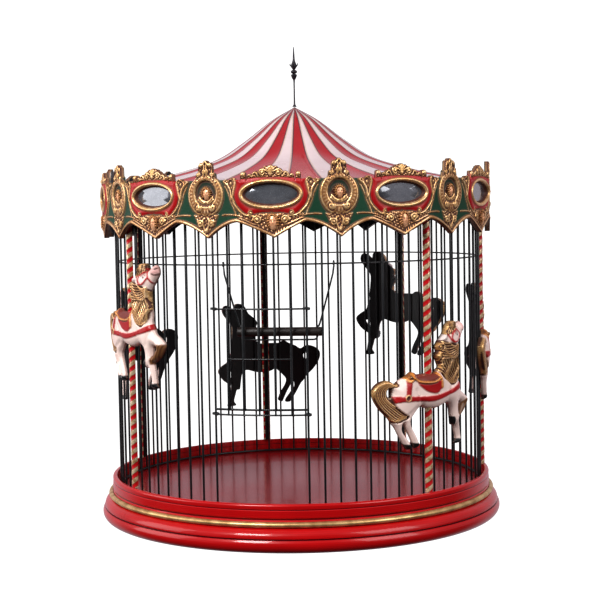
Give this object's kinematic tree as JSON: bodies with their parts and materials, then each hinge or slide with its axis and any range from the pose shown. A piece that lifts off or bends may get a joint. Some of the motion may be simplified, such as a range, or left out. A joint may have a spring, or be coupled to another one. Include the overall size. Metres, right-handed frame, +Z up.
{
  "type": "carousel-shaped birdcage",
  "caption": "Ornamental wire birdcage shaped like a fairground carousel, with relief horses on twisted poles, a mirrored valance, a striped tent roof, a sliding door and a swing perch.",
  "frame": {"origin": "middle of the underside of the turned base", "axes": "+Z up, the door faces -Y, +X to the right of the door seen from outside"},
  "size_m": [0.452, 0.452, 0.5277],
  "materials": {
    "red_lacquer": "deep red gloss lacquer",
    "floor_lacquer": "deep red gloss lacquer",
    "gilding": "gilded moulding",
    "black_wire": "satin black",
    "dark_wood": "dark stained",
    "pole_paint": "gold and red spiral over cast resin, black behind",
    "horse_paint": "hand painted cast resin, black behind",
    "valance_casting": "antique gold, red and green paint over cast resin",
    "mirror_glass": "silvered glass",
    "black_board": "black paint",
    "roof_stripes": "gloss red and white stripes",
    "dark_metal": "dark bronze"
  },
  "bodies": {
    "cage": {"base_plinth": "red_lacquer", "gold_bead": "gilding", "floor_board": "floor_lacquer", "cage_front": "black_wire", "cage_right_front": "black_wire", "cage_right": "black_wire", "cage_right_side": "black_wire", "cage_right_rear": "black_wire", "cage_rear": "black_wire", "cage_left_rear": "black_wire", "cage_left_side": "black_wire", "cage_left": "black_wire", "cage_left_front": "black_wire", "perch_hoop": "black_wire", "pole_front_right": "pole_paint", "pole_front_left": "pole_paint", "pole_side_right": "pole_paint", "pole_side_left": "pole_paint", "pole_rear_right": "pole_paint", "pole_rear_left": "pole_paint", "horse_front_right": "horse_paint", "horse_front_left": "horse_paint", "horse_side_right": "horse_paint", "horse_side_left": "horse_paint", "horse_rear_right": "horse_paint", "horse_rear_left": "horse_paint", "valance_01": "valance_casting", "valance_02": "valance_casting", "valance_03": "valance_casting", "valance_04": "valance_casting", "valance_05": "valance_casting", "valance_06": "valance_casting", "valance_07": "valance_casting", "valance_08": "valance_casting", "valance_09": "valance_casting", "valance_10": "valance_casting", "mirror_01": "mirror_glass", "mirror_02": "mirror_glass", "mirror_03": "mirror_glass", "mirror_04": "mirror_glass", "mirror_05": "mirror_glass", "mirror_06": "mirror_glass", "mirror_07": "mirror_glass", "mirror_08": "mirror_glass", "mirror_09": "mirror_glass", "mirror_10": "mirror_glass", "roof_board": "black_board", "tent_roof": "roof_stripes", "finial": "dark_metal"},
    "door": {"sliding_door": "black_wire"},
    "swing": {"swing_wire": "black_wire", "perch_dowel": "dark_wood"}
  },
  "joints": [
    {"name": "door_slide", "type": "slide", "parent": "cage", "child": "door", "axis": [0, 0, -1], "range_m": [0, 0.085]},
    {"name": "perch_swing", "type": "hinge", "parent": "cage", "child": "swing", "pos_m": [0.01869, -0.19405, 0.2892], "axis": [0.9954, 0.0958, 0], "range_deg": [0, 60]}
  ]
}
